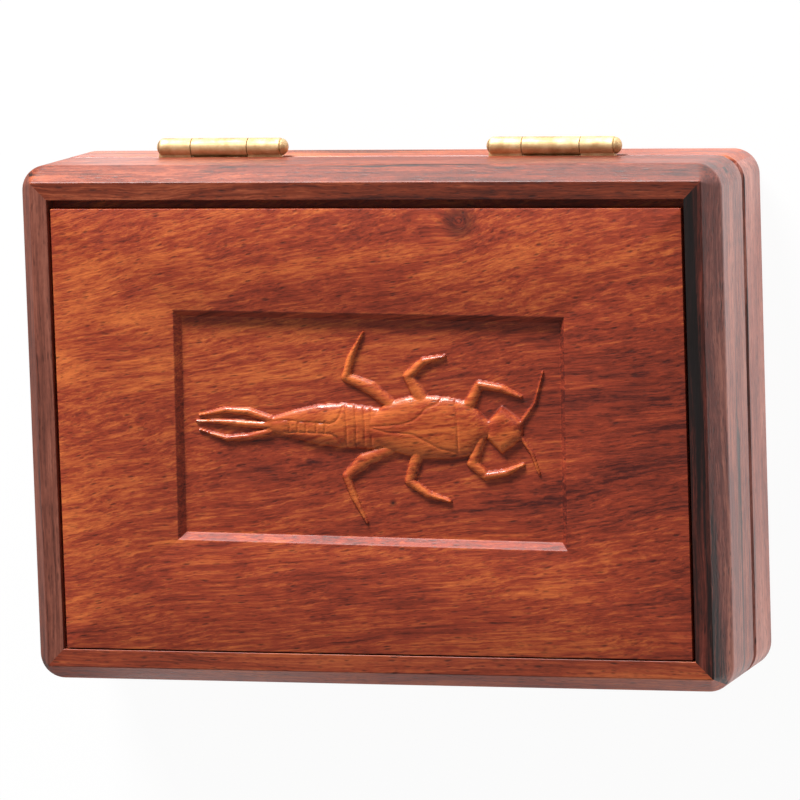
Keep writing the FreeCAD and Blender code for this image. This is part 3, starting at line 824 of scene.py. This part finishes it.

# %% [markdown]
# ## Floor, light and camera
# The box lies on a plain white table. The lens is long and looks down on the lid from above, a little from
# the right and from the hinge side. Most of the light is one large soft window beyond the hinges, low enough to
# rake across the carving. A glossy surface shows the room, so the room it shows is built: the world is a bright
# wall behind the window side and dim in front, and the table carries painted light and shade. For every ray
# but the camera's it glows beyond the box and in strips beside it, pale at the right, and it is painted dim at
# the left; the camera sees it white.


# %% Floor
def white_floor():
    material, tree = new_material("white table")
    light_path = add(tree, "ShaderNodeLightPath")
    place = add(tree, "ShaderNodeSeparateXYZ", {"Vector": add(tree, "ShaderNodeTexCoord").outputs["Object"]})
    across = add(tree, "ShaderNodeMapRange", {
        "Value": place.outputs["X"], "From Min": -0.12, "From Max": 0.12})
    along = add(tree, "ShaderNodeMapRange", {
        "Value": place.outputs["Y"], "From Min": -0.2, "From Max": 0.2})
    # Painted light: for every ray but the camera's the table glows; this ramp paints glowing strips just beside the
    # box, left and right.
    near = add(tree, "ShaderNodeValToRGB", {"Fac": across.outputs["Result"]},
               stops=[(0.14, grey(0.0)), (0.22, grey(1.0)), (0.32, grey(0.5)), (0.42, grey(0.0)), (0.6, grey(0.05)),
                      (0.83, grey(1.0))])
    # Painted light: a glow beyond the box, strongest far behind it, and a weak one in front.
    painted_glow_beyond = add(tree, "ShaderNodeValToRGB", {"Fac": along.outputs["Result"]},
              stops=[(0.28, grey(0.3)), (0.4, grey(0.05)), (0.64, grey(0.0)), (1.0, grey(1.3))])
    # Painted shade: the table is painted darker at the far left, where a dark flag would stand.
    shaded = add(tree, "ShaderNodeValToRGB", {"Fac": across.outputs["Result"]},
                 stops=[(0.1, grey(0.25)), (0.24, grey(1.0))])
    shown = add(tree, "ShaderNodeMath", {
        0: painted_glow_beyond.outputs["Color"], 1: shaded.outputs["Color"], 2: near.outputs["Color"]}, operation="MULTIPLY_ADD")
    painted_table_shade = add(tree, "ShaderNodeMath", {
        0: shaded.outputs["Color"], 1: light_path.outputs["Is Camera Ray"]}, operation="MAXIMUM")
    base = add(tree, "ShaderNodeMath", {0: painted_table_shade.outputs[0], 1: 0.84}, operation="MULTIPLY")
    matte = add(tree, "ShaderNodeBsdfPrincipled", {"Base Color": base.outputs[0], "Roughness": 0.7})
    glow = add(tree, "ShaderNodeMix", {
        "Factor": light_path.outputs["Is Camera Ray"], "A": shown.outputs[0], "B": 0.2})
    white = add(tree, "ShaderNodeEmission", {"Color": grey(1.0), "Strength": 1.0})
    shine = add(tree, "ShaderNodeEmission", {"Color": grey(1.0), "Strength": glow.outputs["Result"]})
    seen = add(tree, "ShaderNodeMath", {
        0: light_path.outputs["Is Camera Ray"], 1: 0.94}, operation="MULTIPLY")
    lit = add(tree, "ShaderNodeAddShader", {0: matte.outputs["BSDF"], 1: shine.outputs[0]})
    mixed = add(tree, "ShaderNodeMixShader", {0: seen.outputs[0], 1: lit.outputs["Shader"], 2: white.outputs[0]})
    add(tree, "ShaderNodeOutputMaterial", {"Surface": mixed.outputs["Shader"]})
    return material


bm = bmesh.new()
bmesh.ops.create_grid(bm, x_segments=1, y_segments=1, size=3.0)
bmesh.ops.translate(bm, verts=bm.verts, vec=(0, 0, cad_box[0][2]))
floor_mesh = bpy.data.meshes.new("floor")
bm.to_mesh(floor_mesh)
bm.free()
floor_mesh.materials.append(white_floor())
floor = bpy.data.objects.new("floor", floor_mesh)
scene.collection.objects.link(floor)


# %% Window and room
def softbox(name, place, target, size, watts):
    lamp = bpy.data.lights.new(name, "AREA")
    lamp.shape = "RECTANGLE"
    lamp.size, lamp.size_y = size
    lamp.energy = watts
    holder = bpy.data.objects.new(name, lamp)
    holder.location = place
    holder.rotation_euler = (Vector(target) - Vector(place)).to_track_quat("-Z", "Y").to_euler()
    scene.collection.objects.link(holder)


softbox("window", (-0.34, 1.08, 0.43), (0, 0, 0.02), (0.5, 0.3), 28.0)

world = bpy.data.worlds.new("studio")
scene.world = world
world.use_nodes = True
world.node_tree.nodes.clear()
tree = world.node_tree
light_path = add(tree, "ShaderNodeLightPath")
direction = add(tree, "ShaderNodeSeparateXYZ", {"Vector": add(tree, "ShaderNodeTexCoord").outputs["Generated"]})
air = add(tree, "ShaderNodeValToRGB", {"Fac": direction.outputs["Z"]},
          stops=[(0.0, grey(0.5)), (0.3, grey(0.36)), (0.7, grey(0.24)), (1.0, grey(0.2))])
towards_window = add(tree, "ShaderNodeMapRange", {
    "Value": direction.outputs["Y"], "From Min": -1.0, "From Max": 1.0})
walls = add(tree, "ShaderNodeValToRGB", {"Fac": towards_window.outputs["Result"]},
            stops=[(0.0, grey(0.12)), (0.45, grey(0.2)), (0.56, grey(0.3)), (0.7, grey(0.5)), (0.85, grey(0.55))])
front = add(tree, "ShaderNodeMapRange", {
    "Value": direction.outputs["Y"], "From Min": -0.2, "From Max": -1.0, "To Min": 1.0, "To Max": 1.9})
soft = add(tree, "ShaderNodeVectorMath", {0: air.outputs["Color"], "Scale": front.outputs["Result"]}, operation="SCALE")
gloss = add(tree, "ShaderNodeMix", {
    "Factor": light_path.outputs["Is Glossy Ray"], "A": soft.outputs[0], "B": walls.outputs["Color"]},
    data_type="RGBA")
colour = add(tree, "ShaderNodeMix", {
    "Factor": light_path.outputs["Is Camera Ray"], "A": gloss.outputs["Result"], "B": grey(1.0)},
    data_type="RGBA")
sky = add(tree, "ShaderNodeBackground", {"Color": colour.outputs["Result"], "Strength": 1.0})
add(tree, "ShaderNodeOutputWorld", {"Surface": sky.outputs["Background"]})

# %% Camera
turn = Euler((0.135, -0.302, -0.008)).to_matrix()
camera_data = bpy.data.cameras.new("camera")
camera_data.lens = 6336.4 / 800 * 36
camera_data.sensor_width = 36
camera_data.clip_start = 0.05
camera_data.clip_end = 20
camera = bpy.data.objects.new("camera", camera_data)
place = turn.transposed() @ Vector((6.23, 5.455, 1201.8)) * MM + Vector((0, 0, cad_box[1][2]))
camera.matrix_world = Matrix.Translation(place) @ turn.transposed().to_4x4()
scene.collection.objects.link(camera)
scene.camera = camera
scene.view_settings.view_transform = "Standard"
